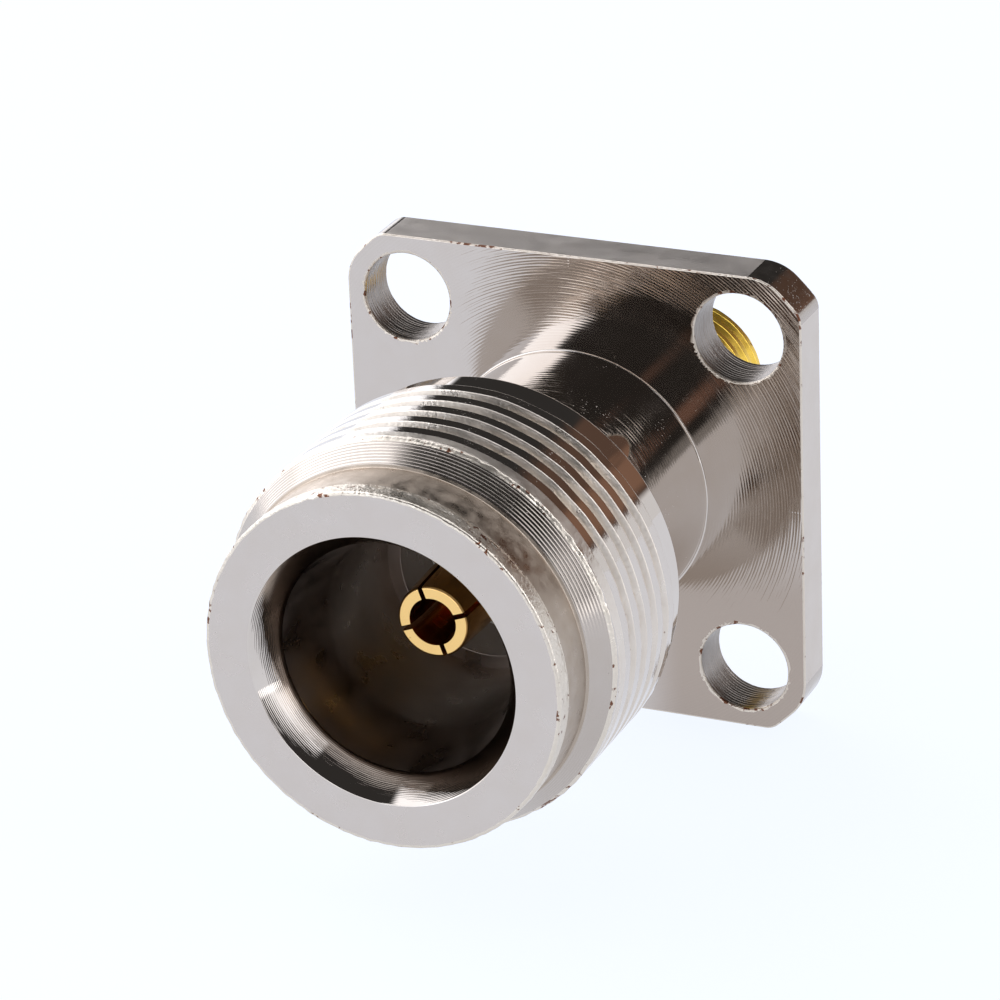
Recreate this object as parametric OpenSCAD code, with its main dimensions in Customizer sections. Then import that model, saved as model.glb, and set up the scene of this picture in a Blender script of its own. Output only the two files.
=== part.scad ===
// Between-series coaxial adapter for panel mounting.
// A large threaded jack stands in front of a square four-hole flange, and a small
// threaded jack stands behind it. One slotted centre contact runs through both.
// The axis is Y. The back face of the flange is the plane y = 0, the large jack
// looks towards -Y, and +Z is up.

/* [Flange] */
// Side of the square flange
flange_w = 19.2; // [18.6:0.1:24]
// Thickness of the flange
flange_t = 2.05; // [1.4:0.05:3]
// Length that a round corner takes off the end of each side
corner_cut = 1.44; // [0.8:0.02:1.9]
// Radius that blends one end of each corner into its side
corner_blend_r = 1.0; // [0.5:0.1:1.5]
// Distance from the flange's edges in to the screw holes' centres
hole_inset = 2.575; // [2.4:0.005:2.9]
// Diameter of the screw holes
hole_d = 3.68; // [2.6:0.02:3.9]

/* [Barrel] */
// Length of the large jack in front of the flange
barrel_len = 18.33; // [17.4:0.01:22]
// Diameter of the neck between flange and thread
neck_d = 11.15; // [10.6:0.05:13]
// Radius of the fillet where the neck meets the flange
neck_fillet_r = 0.15; // [0.05:0.05:0.5]
// Distance across the crests of the coupling thread
thread_d = 15.875; // [15.6:0.005:17]
// Distance from crest to crest of the coupling thread
thread_pitch = 1.058; // [0.9:0.001:1.3]
// Depth of the thread grooves below the crests
thread_depth = 0.35; // [0.2:0.01:0.45]
// Width of a thread groove at the crests
groove_w = 0.50; // [0.45:0.01:0.7]
// Length of the coupling thread
thread_len = 5.5; // [4:0.05:6]
// Length of the unthreaded land behind the thread
land_len = 1.48; // [0.8:0.02:2]
// Diameter of the smooth nose
nose_d = 14.26; // [13.4:0.02:14.6]
// Length of the nose, from the mating face to the foot of the lead-in cone
nose_len = 2.44; // [1.6:0.02:3]
// Length of the cone that leads onto the thread
cone_len = 0.99; // [0.6:0.01:1.4]
// Length of the raised lip at the mating face
lip_len = 0.70; // [0.3:0.05:1.2]
// Height of the lip above the rest of the nose
lip_h = 0.03; // [0.02:0.01:0.15]
// Width of the broken edge around the mating face
face_edge = 0.12; // [0.02:0.01:0.2]

/* [Front socket] */
// Diameter of the socket that takes the plug's shield
socket_d = 8.12; // [7.9:0.02:8.4]
// Diameter of the flared mouth at the mating face
mouth_d = 10.76; // [9.6:0.02:11.4]
// Radius of the curve that flares the mouth
mouth_curve_r = 6.2; // [3:0.1:8]
// Depth of the socket, from the mating face to its shoulder
socket_depth = 9.36; // [8.8:0.02:9.8]
// Bore of the line behind the socket's shoulder
line_d = 7.0; // [6.4:0.05:7.4]
// Length of the open line between the shoulder and the front insulator
line_len = 2.4; // [1.6:0.1:3]

/* [Centre contact] */
// Diameter of the contact in the front socket
contact_d = 3.04; // [2.8:0.01:3.2]
// Diameter across the closed tips of the contact's fingers
contact_tip_d = 2.86; // [2.7:0.01:3.0]
// Length over which the fingers close towards their tips
contact_taper_len = 2.2; // [1:0.1:3]
// Distance from the mating face back to the contact's tip
contact_recess = 4.60; // [4:0.05:5.2]
// Hole for the plug's pin
pin_hole_d = 1.66; // [1.5:0.01:1.75]
// Depth of the hole for the plug's pin
pin_hole_len = 6.4; // [6:0.1:7]
// Diameter of the countersink around the pin hole
countersink_d = 2.0; // [1.85:0.01:2.2]
// Width of the slots between the fingers
slot_w = 0.20; // [0.12:0.01:0.3]
// Length of the slots
slot_len = 5.2; // [4:0.1:5.6]
// Turn of the slots about the axis
slot_angle = 16.5; // [0:0.5:45]
// Diameter of the collar that holds the contact between the insulators
contact_collar_d = 3.9; // [3.7:0.05:4.0]
// Thickness of that collar
contact_collar_t = 0.8; // [0.5:0.05:1.2]

/* [Front insulator] */
// Diameter of the insulator behind the open line
bead_d = 8.4; // [7.8:0.05:8.8]
// Thickness of the insulator
bead_t = 3.0; // [2.4:0.1:3.6]

/* [Rear jack] */
// Length of the small jack behind the flange's back face
rear_len = 10.75; // [10.4:0.05:13]
// Diameter of the collar that seats in the flange
rear_collar_d = 9.5; // [9.0:0.1:10.5]
// Thickness of the collar
rear_collar_t = 1.8; // [1.2:0.1:2.4]
// Depth of the seat that the flange's back face has for the collar
collar_seat = 1.0; // [0.6:0.05:1.2]
// Diameter of the shank between collar and thread
rear_shank_d = 7.6; // [7:0.1:8.2]
// Distance across the crests of the small thread
rear_thread_d = 6.35; // [6.2:0.01:6.5]
// Distance from crest to crest of the small thread
rear_pitch = 0.7056; // [0.6:0.0001:0.8]
// Depth of the small thread's grooves
rear_thread_depth = 0.22; // [0.12:0.01:0.28]
// Width of a groove of the small thread
rear_groove_w = 0.40; // [0.3:0.01:0.45]
// Length of the small thread
rear_thread_len = 5.3; // [4.4:0.1:5.6]
// Width of the broken edge at the small jack's end
rear_edge = 0.25; // [0.1:0.05:0.4]
// Diameter of the undercut behind the small thread
undercut_d = 5.4; // [5.2:0.05:5.7]
// Length of the undercut
undercut_len = 0.8; // [0.4:0.1:1.2]
// Diameter of the recess at the small jack's end
rear_recess_d = 4.62; // [4.4:0.02:4.8]
// Depth of the recess
rear_recess_depth = 1.93; // [1.6:0.01:2.2]
// Diameter of the insulator in the small jack
rear_insulator_d = 4.12; // [4.0:0.02:4.3]

/* [Rear contact] */
// Diameter of the contact in the small jack
rear_contact_d = 1.27; // [1.15:0.01:1.4]
// Distance from the insulator's end back to the contact's end
rear_contact_recess = 0.10; // [0:0.02:0.3]
// Hole for the small plug's pin
rear_pin_hole_d = 0.94; // [0.88:0.01:1.0]
// Depth of that hole
rear_pin_hole_len = 3.0; // [2.4:0.1:4]
// Width of the slots in the small end
rear_slot_w = 0.15; // [0.1:0.01:0.2]
// Length of those slots
rear_slot_len = 2.2; // [1.6:0.1:2.8]

/* [Assembly] */
// Radial gap between pieces that are pushed into each other
push_gap = 0.02; // [0.01:0.01:0.04]

/* [Hidden] */
$fn = 96;
nickel = "#c9c6c4";
gold = "#d8b04a";
white_ptfe = "#f2f0ea";
over = 1;                     // how far a cutting tool runs past a face
hole_pitch = flange_w - 2 * hole_inset;
flange_bar_r = norm([flange_w / 2, flange_w / 2 - corner_cut]);
blend_z = flange_w / 2 - corner_blend_r;
blend_x = sqrt(pow(flange_bar_r - corner_blend_r, 2) - pow(blend_z, 2));

// Stations along the axis, from the mating face to the far end
y_face = -flange_t - barrel_len;
y_cone = y_face + nose_len;
y_thread = y_cone + cone_len;
y_land = y_thread + thread_len;
y_neck = y_land + land_len;
y_tip = y_face + contact_recess;
y_shoulder = y_face + socket_depth;
y_bead = y_shoulder + line_len;
y_clamp = y_bead + bead_t;
y_collar = rear_collar_t - collar_seat;
y_rear_thread = rear_len - rear_thread_len;
y_rear_plane = rear_len - rear_recess_depth;
y_rear_contact = y_rear_plane - rear_contact_recess;

// Thread grooves: the last one lies one crest in from the end of the thread
crest_w = thread_pitch - groove_w;
groove_count = floor((thread_len - 2 * crest_w) / thread_pitch);
rear_crest_w = rear_pitch - rear_groove_w;
rear_groove_count = floor((rear_thread_len - rear_edge - rear_crest_w) / rear_pitch);
root_share = 0.2;             // width of a groove's root as a share of its mouth

// Turns a shape that is modelled along Z so that it lies along Y
module along_axis() rotate([-90, 0, 0]) children();

// Solid of revolution from [radius, station] points
module turned(points) along_axis() rotate_extrude() polygon(points);

// Round bar or hole of diameter d between two stations
module bar(d, from, to) along_axis() translate([0, 0, from]) cylinder(d = d, h = to - from);

// Outline of one groove that is centred on a station, from front to back
function groove(r, depth, width, y) = [
    [r, y - width / 2],
    [r - depth, y - width * root_share / 2],
    [r - depth, y + width * root_share / 2],
    [r, y + width / 2]
];

// Crossed slots that part the end of a contact into four fingers
module finger_slots(width, from, to, reach)
    along_axis() rotate([0, 0, -slot_angle]) translate([0, 0, from])
        for (turn = [0, 90]) rotate([0, 0, turn])
            translate([-reach / 2, -width / 2, 0]) cube([reach, width, to - from]);

// Outside of the large jack, revolved: nose, lead-in cone, thread, land and neck
module barrel() {
    nose_r = nose_d / 2;
    crest_r = thread_d / 2;
    neck_r = neck_d / 2;
    first_groove = y_land - crest_w - groove_w / 2 - (groove_count - 1) * thread_pitch;
    turned(concat(
        [[0, y_face], [nose_r - face_edge, y_face], [nose_r, y_face + face_edge],
         [nose_r, y_face + lip_len], [nose_r - lip_h, y_face + lip_len],
         [nose_r - lip_h, y_cone], [crest_r, y_thread]],
        [for (i = [0 : groove_count - 1], p = groove(crest_r, thread_depth, groove_w,
            first_groove + i * thread_pitch)) p],
        [[crest_r, y_land], [crest_r - thread_depth, y_land],
         [crest_r - thread_depth, y_neck], [neck_r, y_neck],
         [neck_r, -flange_t / 2], [0, -flange_t / 2]]
    ));
    neck_fillet(neck_r);
}

// Concave fillet between the neck and the flange's front face
module neck_fillet(neck_r) along_axis() rotate_extrude() difference() {
    translate([neck_r - over / 2, -flange_t - neck_fillet_r])
        square([neck_fillet_r + over / 2, neck_fillet_r + flange_t / 2]);
    translate([neck_r + neck_fillet_r, -flange_t - neck_fillet_r]) circle(neck_fillet_r);
}

// Square plate milled from round bar: its corners keep the bar's radius, and each one
// runs smoothly into one side and meets the other in a crease
module flange() along_axis() translate([0, 0, -flange_t]) linear_extrude(flange_t) difference() {
    intersection() {
        square(flange_w, center = true);
        circle(flange_bar_r);
    }
    for (turn = [0, 90, 180, 270]) rotate(turn) blend_cut();
    for (x = [-1, 1], y = [-1, 1]) translate([x, y] * hole_pitch / 2) circle(d = hole_d);
}

// What the blend takes off the tip between a side and a round corner
module blend_cut() {
    lean = atan2(blend_z, blend_x);
    reach = 2 * corner_blend_r;
    difference() {
        translate([blend_x, -blend_z])
            polygon([[0, 0], [0, -reach], reach * [cos(lean), -sin(lean)]]);
        translate([blend_x, -blend_z]) circle(corner_blend_r);
    }
}

// Flared mouth: a convex curve that runs out into the socket's wall
module mouth() {
    drop = mouth_curve_r - (mouth_d - socket_d) / 2;
    flare_len = sqrt(mouth_curve_r * mouth_curve_r - drop * drop);
    along_axis() rotate_extrude() difference() {
        translate([0, y_face - over]) square([(mouth_d + over) / 2, flare_len + over]);
        translate([socket_d / 2 + mouth_curve_r, y_face + flare_len]) circle(mouth_curve_r);
        translate([mouth_d / 2, y_face - 2 * over]) square([over, 2 * over]);
    }
}

// Nickel-plated body: flange and large jack in one turned and milled piece
module flanged_body() color(nickel) difference() {
    union() {
        barrel();
        flange();
    }
    mouth();
    bar(socket_d, y_face - over, y_shoulder);
    bar(line_d, y_shoulder - over, y_bead + over);
    bar(bead_d + 2 * push_gap, y_bead, over);
    bar(rear_collar_d + 2 * push_gap, -collar_seat, over);
}

// Gold-plated contact: four fingers at each end and a collar between the insulators
module centre_contact() color(gold) difference() {
    contact_r = contact_d / 2;
    tip_r = contact_tip_d / 2;
    rear_r = rear_contact_d / 2;
    flare = (countersink_d - pin_hole_d) / 2;
    turned([
        [0, y_tip], [tip_r - face_edge, y_tip], [tip_r, y_tip + face_edge],
        [contact_r, y_tip + contact_taper_len], [contact_r, y_clamp - contact_collar_t],
        [contact_collar_d / 2, y_clamp - contact_collar_t], [contact_collar_d / 2, y_clamp],
        [rear_r, y_clamp], [rear_r, y_rear_contact - rear_r + rear_pin_hole_d / 2 + push_gap],
        [rear_pin_hole_d / 2 + push_gap, y_rear_contact], [0, y_rear_contact]
    ]);
    bar(pin_hole_d, y_tip - over, y_tip + pin_hole_len);
    turned([[0, y_tip - over], [countersink_d / 2, y_tip - over], [countersink_d / 2, y_tip],
        [pin_hole_d / 2, y_tip + flare], [0, y_tip + flare]]);
    finger_slots(slot_w, y_tip - over, y_tip + slot_len, contact_d + over);
    bar(rear_pin_hole_d, y_rear_contact - rear_pin_hole_len, y_rear_contact + over);
    finger_slots(rear_slot_w, y_rear_contact - rear_slot_len, y_rear_contact + over, rear_contact_d + over);
}

// White insulator that carries the contact behind the open line
module front_insulator() color(white_ptfe) difference() {
    bar(bead_d, y_bead, y_clamp);
    bar(contact_d + 2 * push_gap, y_bead - over, y_clamp + over);
    bar(contact_collar_d + 2 * push_gap, y_clamp - contact_collar_t, y_clamp + over);
}

// Gold-plated small jack, pushed into the body from behind until its collar seats
module rear_jack() color(gold) {
    crest_r = rear_thread_d / 2;
    last_groove = rear_len - rear_edge - rear_crest_w - rear_groove_w / 2;
    difference() {
        turned(concat(
            [[0, y_clamp], [bead_d / 2, y_clamp], [bead_d / 2, -collar_seat],
             [rear_collar_d / 2, -collar_seat], [rear_collar_d / 2, y_collar],
             [rear_shank_d / 2, y_collar],
             [rear_shank_d / 2, y_rear_thread - undercut_len],
             [undercut_d / 2, y_rear_thread - undercut_len], [undercut_d / 2, y_rear_thread],
             [crest_r, y_rear_thread]],
            [for (i = [rear_groove_count - 1 : -1 : 0], p = groove(crest_r, rear_thread_depth,
                rear_groove_w, last_groove - i * rear_pitch)) p],
            [[crest_r, rear_len - rear_edge], [crest_r - rear_edge, rear_len], [0, rear_len]]
        ));
        bar(rear_insulator_d + 2 * push_gap, y_clamp - over, rear_len + over);
        bar(rear_recess_d, y_rear_plane, rear_len + over);
    }
}

// White insulator that fills the small jack around the contact
module rear_insulator() color(white_ptfe) difference() {
    bar(rear_insulator_d, y_clamp, y_rear_plane);
    bar(rear_contact_d + 2 * push_gap, y_clamp - over, y_rear_plane + over);
}

flanged_body();
centre_contact();
front_insulator();
rear_jack();
rear_insulator();
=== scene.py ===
"""Dresses the flange-mounted coaxial adapter: large threaded jack, flange and small jack.

This script makes the turned pieces again as fine surfaces, with true helical threads,
softened edges, turning marks and contact fingers, and gives each finish its own procedural
material. The main sizes in the classes repeat those of the frame's solids, so that each new
piece fits the node that it replaces, and the floor's height comes from the frame. Lengths
are in millimetres until a mesh is made. The axis of the adapter is Y and the large jack
looks towards -Y.
"""

from __future__ import annotations

import logging
import math
from collections.abc import Sequence
from dataclasses import dataclass, field
from enum import Enum, IntEnum
from functools import cached_property
from typing import Any

import bmesh
import bpy
import numpy as np
from mathutils import Matrix, Vector

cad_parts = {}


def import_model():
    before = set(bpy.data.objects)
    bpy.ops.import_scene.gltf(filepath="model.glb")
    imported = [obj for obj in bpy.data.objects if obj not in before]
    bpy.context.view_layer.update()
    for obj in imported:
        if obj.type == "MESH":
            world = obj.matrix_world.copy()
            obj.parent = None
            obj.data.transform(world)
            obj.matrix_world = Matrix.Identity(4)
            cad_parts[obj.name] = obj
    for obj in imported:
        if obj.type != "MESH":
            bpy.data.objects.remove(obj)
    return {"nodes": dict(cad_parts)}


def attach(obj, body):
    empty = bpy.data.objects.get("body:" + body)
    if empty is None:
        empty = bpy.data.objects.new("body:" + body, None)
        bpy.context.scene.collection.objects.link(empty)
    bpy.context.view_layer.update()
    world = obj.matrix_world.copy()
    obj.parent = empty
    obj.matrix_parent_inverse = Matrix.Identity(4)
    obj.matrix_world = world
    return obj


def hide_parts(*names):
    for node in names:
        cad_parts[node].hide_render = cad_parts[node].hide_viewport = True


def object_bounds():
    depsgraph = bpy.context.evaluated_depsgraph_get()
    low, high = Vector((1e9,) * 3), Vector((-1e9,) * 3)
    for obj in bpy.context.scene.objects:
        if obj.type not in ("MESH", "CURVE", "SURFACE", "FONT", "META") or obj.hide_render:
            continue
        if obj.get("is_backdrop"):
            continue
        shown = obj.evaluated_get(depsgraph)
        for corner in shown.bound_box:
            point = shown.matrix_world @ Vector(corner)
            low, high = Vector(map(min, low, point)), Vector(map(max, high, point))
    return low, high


LOG = logging.getLogger("adapter")
MM = 0.001
TURN = 2.0 * math.pi
QUARTER = TURN / 4
ROUND_STEPS = 5  # points along a softened edge
GUARD = 0.02  # mm from a softened edge to the row that keeps the flat beside it flat
WELD = 2e-7  # m, below which neighbouring grid points are one point
CREASE = math.radians(32)  # folds sharper than this stay hard edges
NOISE_LOW, NOISE_HIGH = 0.3, 0.7  # noise seldom goes past these
NOISE_SPAN = 4.0  # most of it keeps to a quarter of 0 to 1, so depths are times this
WARMTH = (0.95, 0.93, 0.90, 1.0)  # of the clouds in a plating's colour
TINT_SIZE = 0.9  # mm, width of those clouds
SPOT_GROUPS = 2.5  # mm, width of a group of spots
RING_WANDER = 0.6  # how far the scratches shift the even rings, in rings
STREAK = 25  # times longer than wide, marks that aren't rings
SPECK_DEPTH = 0.004  # mm
SPECK_HAZE = 0.55  # roughness of a speck
SINES = 9  # in a torn edge's line
LUMP_SINES = 14  # in a burr's field
FINGERS = 4

Profile = list[tuple[float, float, float]]  # radius, station along the axis, softening
Box = tuple[Sequence[float], Sequence[float]]  # lowest and highest corner
Socket = bpy.types.NodeSocket


# ---------------------------------------------------------------- surfaces


def softened(corners: Profile) -> np.ndarray:
    """Turns corner points into a profile with softened edges.

    Each corner P with a softening t becomes a short parabola: it leaves the line towards
    the previous corner at t from P, is drawn towards P, and joins the next line at t from
    P. One more point stands GUARD outside each end, so that shading stays on the edge.

    Args:
        corners: radius, station and softening of each corner, in order.

    Returns:
        Array of (radius, station) rows.
    """
    points = np.array([c[:2] for c in corners], float)
    rows = [points[0]]
    s = np.linspace(0.0, 1.0, ROUND_STEPS)[:, None]
    for before, here, after, corner in zip(points, points[1:], points[2:], corners[1:]):
        t = corner[2]
        if t <= 0.0:
            rows.append(here)
            continue
        back, ahead = before - here, after - here
        room_back, room_ahead = np.linalg.norm(back), np.linalg.norm(ahead)
        back, ahead = back / room_back, ahead / room_ahead
        if room_back > t + 2 * GUARD:
            rows.append(here + back * (t + GUARD))
        rows.extend((1 - s) ** 2 * (here + back * t) + 2 * s * (1 - s) * here
                    + s**2 * (here + ahead * t))
        if room_ahead > t + 2 * GUARD:
            rows.append(here + ahead * (t + GUARD))
    rows.append(points[-1])
    return np.array(rows)


def full_turn(segments: int) -> np.ndarray:
    """Angles of a full turn, both ends included."""
    return np.linspace(0.0, TURN, segments + 1)


def round_axis(radius: np.ndarray, station: np.ndarray | float, angle: np.ndarray) -> np.ndarray:
    """Points round the Y axis: x = r cos a, y = station, z = r sin a."""
    flat = radius * np.cos(angle), station, radius * np.sin(angle)
    return np.stack(np.broadcast_arrays(*flat), axis=-1)


def turned(rows: np.ndarray, segments: int) -> np.ndarray:
    """Carries a profile's (radius, station) rows round the Y axis in equal steps."""
    return round_axis(rows[:, :1], rows[:, 1:], full_turn(segments))


def waves(angle: np.ndarray, seed: int) -> np.ndarray:
    """Uneven line between about -1 and 1: sines of whole frequencies, so that it closes.

    Args:
        angle: where to read it, in radians.
        seed: picks the frequencies and phases.

    Returns:
        Values, one for each angle.
    """
    pick = np.random.default_rng(seed)
    frequency, phase = pick.integers(9, 40, SINES), pick.uniform(0.0, TURN, SINES)
    return np.sin(angle[..., None] * frequency + phase).sum(axis=-1) / math.sqrt(SINES)


def lumps(angle: np.ndarray, station: np.ndarray | float, seed: int) -> np.ndarray:
    """Uneven field between about -1 and 1: sines that run round and along the axis.

    Args:
        angle: place round the axis, in radians.
        station: place along the axis, in millimetres.
        seed: picks the sines.

    Returns:
        Values, one for each point.
    """
    pick = np.random.default_rng(seed)
    total = 0.0
    for _ in range(LUMP_SINES):
        around, along = pick.integers(12, 90), pick.uniform(-9.0, 9.0)
        phase = pick.uniform(0.0, TURN)
        total = total + np.sin(angle * around + station * along + phase)
    return total / math.sqrt(LUMP_SINES)


def smooth_step(value: np.ndarray, low: float, high: float) -> np.ndarray:
    """Rises from 0 at low to 1 at high with level ends: 3 t^2 - 2 t^3."""
    t = np.clip((value - low) / (high - low), 0.0, 1.0)
    return t * t * (3 - 2 * t)


def add_object(name: str, data: bpy.types.ID) -> bpy.types.Object:
    """Puts a mesh or a camera into the scene.

    Args:
        name: name of the new object.
        data: the mesh or camera.

    Returns:
        The object, at the origin.
    """
    made = bpy.data.objects.new(name, data)
    bpy.context.scene.collection.objects.link(made)
    return made


class Shell:
    """Collects grids of points, in millimetres, and welds them into one closed mesh."""

    def __init__(self) -> None:
        """Starts with nothing in it."""
        self.points: list[np.ndarray] = []
        self.quads: list[np.ndarray] = []
        self.finishes: list[np.ndarray] = []
        self.count = 0

    def add(self, grid: np.ndarray, finish: int | np.ndarray) -> None:
        """Adds a grid of quads.

        Args:
            grid: rows by columns by 3.
            finish: material index of all its faces, or one index for each row of faces.
        """
        rows, columns = grid.shape[:2]
        index = self.count + np.arange(rows * columns).reshape(rows, columns)
        quads = np.stack(
            [index[:-1, :-1], index[:-1, 1:], index[1:, 1:], index[1:, :-1]], axis=-1)
        self.points.append(grid.reshape(-1, 3))
        self.quads.append(quads.reshape(-1, 4))
        self.finishes.append(np.repeat(np.broadcast_to(finish, rows - 1), columns - 1))
        self.count += rows * columns

    def build(self, name: str, finishes: Sequence[bpy.types.Material]) -> bpy.types.Object:
        """Welds the grids into a mesh, drops empty faces and points all faces outwards.

        Args:
            name: name of the new object.
            finishes: its materials, in the order that add() counts them.

        Returns:
            The new object, at the origin.
        """
        mesh = bpy.data.meshes.new(name)
        points = np.concatenate(self.points) * MM
        mesh.from_pydata(points, [], np.concatenate(self.quads))
        indices = np.concatenate(self.finishes).astype(np.int32)
        mesh.polygons.foreach_set("material_index", indices)
        made = bmesh.new()
        made.from_mesh(mesh)
        bmesh.ops.remove_doubles(made, verts=made.verts, dist=WELD)
        bmesh.ops.dissolve_degenerate(made, edges=made.edges, dist=WELD)
        bmesh.ops.recalc_face_normals(made, faces=made.faces)
        made.to_mesh(mesh)
        made.free()
        for finish in finishes:
            mesh.materials.append(finish)
        mesh.shade_smooth()
        mesh.set_sharp_from_angle(angle=CREASE)
        return add_object(name, mesh)


@dataclass(frozen=True)
class Burr:
    """Rough band round the outside of a turned piece, where the tool tore or beat the metal."""

    station: float
    reach: float  # how far along the axis it spreads
    height: float
    seed: int
    from_r: float = 6.7  # points nearer the axis stay as they are
    blend: float = 0.25  # from there to the full height

    def push(self, grid: np.ndarray) -> np.ndarray:
        """Moves a grid's points off the axis by the band's unevenness.

        The move is height times lumps, times a bell curve of the distance along the axis.
        It depends on the point's place only, so that shared borders stay shared.

        Args:
            grid: points, with x, y and z last.

        Returns:
            Grid of the same shape.
        """
        radius = np.hypot(grid[..., 0], grid[..., 2])
        angle = np.arctan2(grid[..., 2], grid[..., 0])
        bell = np.exp(-(((grid[..., 1] - self.station) / self.reach) ** 2))
        outer = smooth_step(radius, self.from_r, self.from_r + self.blend)
        move = self.height * bell * outer * lumps(angle, grid[..., 1], self.seed)
        stretch = 1 + move / radius
        return grid * np.stack([stretch, np.ones_like(stretch), stretch], axis=-1)


@dataclass(frozen=True)
class Thread:
    """A right-handed thread cut between two stations.

    The groove's middle line moves by one pitch along Y in each turn, backwards as the
    angle falls. Its depth fades in over the run-in, as a thread does where the tool enters.
    """

    crest_r: float
    pitch: float
    depth: float
    groove_w: float
    root_w: float
    edge: float
    front: float
    back: float
    middle: float  # station of one groove's middle at angle 0
    run_in: tuple[float, float]  # stations between which the groove gains its depth
    tear: float  # how far the torn edges of the groove wander
    hand: float = -1.0

    def section(self) -> np.ndarray:
        """Half of the groove's section with softened corners.

        Returns:
            Rows of (distance from the groove's middle, depth below the crest).
        """
        return softened([
            (0.0, self.depth, 0.0),
            (self.root_w / 2, self.depth, min(self.edge, self.root_w / 3)),
            (self.groove_w / 2, 0.0, self.edge),
            (self.pitch / 2, 0.0, 0.0),
        ])

    def radius(self, station: np.ndarray | float, angle: np.ndarray) -> np.ndarray:
        """Radius of the threaded surface at any station and angle.

        The distance to the nearest groove's middle gives the depth from the section, and
        the run-in scales it.

        Args:
            station: places along the axis.
            angle: places round it.

        Returns:
            Radius of each point.
        """
        half = self.section()
        shift = self.middle + self.hand * self.pitch * angle / TURN
        across = (station - shift + self.pitch / 2) % self.pitch - self.pitch / 2
        depth = np.interp(np.abs(across), half[:, 0], half[:, 1])
        return self.crest_r - depth * smooth_step(station - across, *self.run_in)

    def rows(self) -> tuple[np.ndarray, np.ndarray]:
        """Places the surface's rows in every turn that the thread reaches.

        Returns:
            Turn number, and distance from that turn's groove, of each row, as columns.
        """
        half = self.section()[:, 0]
        across = np.concatenate([-half[::-1], half[1:-1]])
        turns = np.arange(
            math.floor((self.front - self.middle) / self.pitch) - 1,
            math.ceil((self.back - self.middle) / self.pitch) + 3)
        turn, place = np.meshgrid(turns, across, indexing="ij")
        return turn.reshape(-1, 1), place.reshape(-1, 1)

    def grooved(self) -> np.ndarray:
        """Whether each row of faces lies in the groove."""
        place = np.abs(self.rows()[1][:, 0])
        return np.maximum(place[:-1], place[1:]) <= self.groove_w / 2 + self.edge

    def surface(self, segments: int, seed: int) -> np.ndarray:
        """Grid whose rows follow the helix and stop at the thread's two ends.

        A row keeps its place in the section and moves along Y with the angle. Past an end
        it lies on the end's circle, where the weld takes up its empty faces.

        Args:
            segments: steps in a full turn.
            seed: picks how the groove's edges wander.

        Returns:
            Grid of points, rows by segments + 1 by 3.
        """
        turn, place = self.rows()
        angle = full_turn(segments)
        shift = self.middle + turn * self.pitch + self.hand * self.pitch * angle / TURN
        along = angle + self.hand * turn * TURN
        near_edge = np.exp(-(((np.abs(place) - self.groove_w / 2) / (self.edge * 1.5)) ** 2))
        other_side = np.where(place < 0, 0.0, 40.0)  # reads the waves elsewhere
        wander = self.tear * near_edge * waves(along + other_side, seed)
        station = np.clip(shift + place + wander, self.front, self.back)
        exact = np.clip(shift + place, self.front, self.back)
        return round_axis(self.radius(exact, angle), station, angle)

    def end(self, station: float, land_r: float, segments: int) -> np.ndarray:
        """Ring between the thread's end circle and the land beside it.

        Args:
            station: where it lies.
            land_r: radius of the land.
            segments: steps in a full turn.

        Returns:
            Grid of points, 2 by segments + 1 by 3.
        """
        angle = full_turn(segments)
        edge = self.radius(station, angle)
        return round_axis(np.stack([edge, np.full_like(angle, land_r)]), station, angle)


# ---------------------------------------------------------------- finishes


def linear(colour: str) -> tuple[float, float, float, float]:
    """Turns sRGB into the linear values that shaders take.

    Args:
        colour: hex, such as "#cdc5bd".

    Returns:
        Red, green, blue and 1.
    """
    parts = np.array([int(colour[i:i + 2], 16) for i in (1, 3, 5)]) / 255
    values = np.where(parts <= 0.04045, parts / 12.92, ((parts + 0.055) / 1.055) ** 2.4)
    return (*values.tolist(), 1.0)


class Bench:
    """Node tree of a new material or world, and the coordinates that its patterns read."""

    def __init__(self, owner: bpy.types.Material | bpy.types.World, read: str = "Object") -> None:
        """Turns on the owner's nodes.

        Args:
            owner: the material or world.
            read: which texture coordinates its patterns read.
        """
        owner.use_nodes = True
        self.tree, self.read = owner.node_tree, read

    @cached_property
    def place(self) -> Socket:
        """The coordinates, from one node for all patterns."""
        return self.add("TexCoord", out=self.read)

    def add(self, kind: str, inputs: dict[str | int, Any] | None = None, out: str | int = 0,
            **settings: Any) -> Socket:
        """Adds a node with its settings and inputs.

        Args:
            kind: the node's type name, after ShaderNode.
            inputs: for each input, by name or number, a socket to link or a value to set.
            out: name or number of the output that is wanted.
            settings: attributes of the node.

        Returns:
            That output.
        """
        node = self.tree.nodes.new("ShaderNode" + kind)
        for key, value in settings.items():
            setattr(node, key, value)
        self.fill(node, inputs or {})
        return node.outputs[out]

    def fill(self, node: bpy.types.Node, inputs: dict[str | int, Any]) -> None:
        """Links sockets to a node's inputs, and sets those that are given as values.

        Args:
            node: the node.
            inputs: the sockets and values, by name or number.
        """
        for key, value in inputs.items():
            if isinstance(value, Socket):
                self.tree.links.new(value, node.inputs[key])
            else:
                node.inputs[key].default_value = value


class Marks(Enum):
    """Which way the marks of a cutting tool run."""

    RINGS = "rings about the axis, as turning leaves them"
    ACROSS = "lines along the axis, as side milling leaves them"
    BORED = "rings about the hole's own axis, as drilling leaves them"


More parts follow.
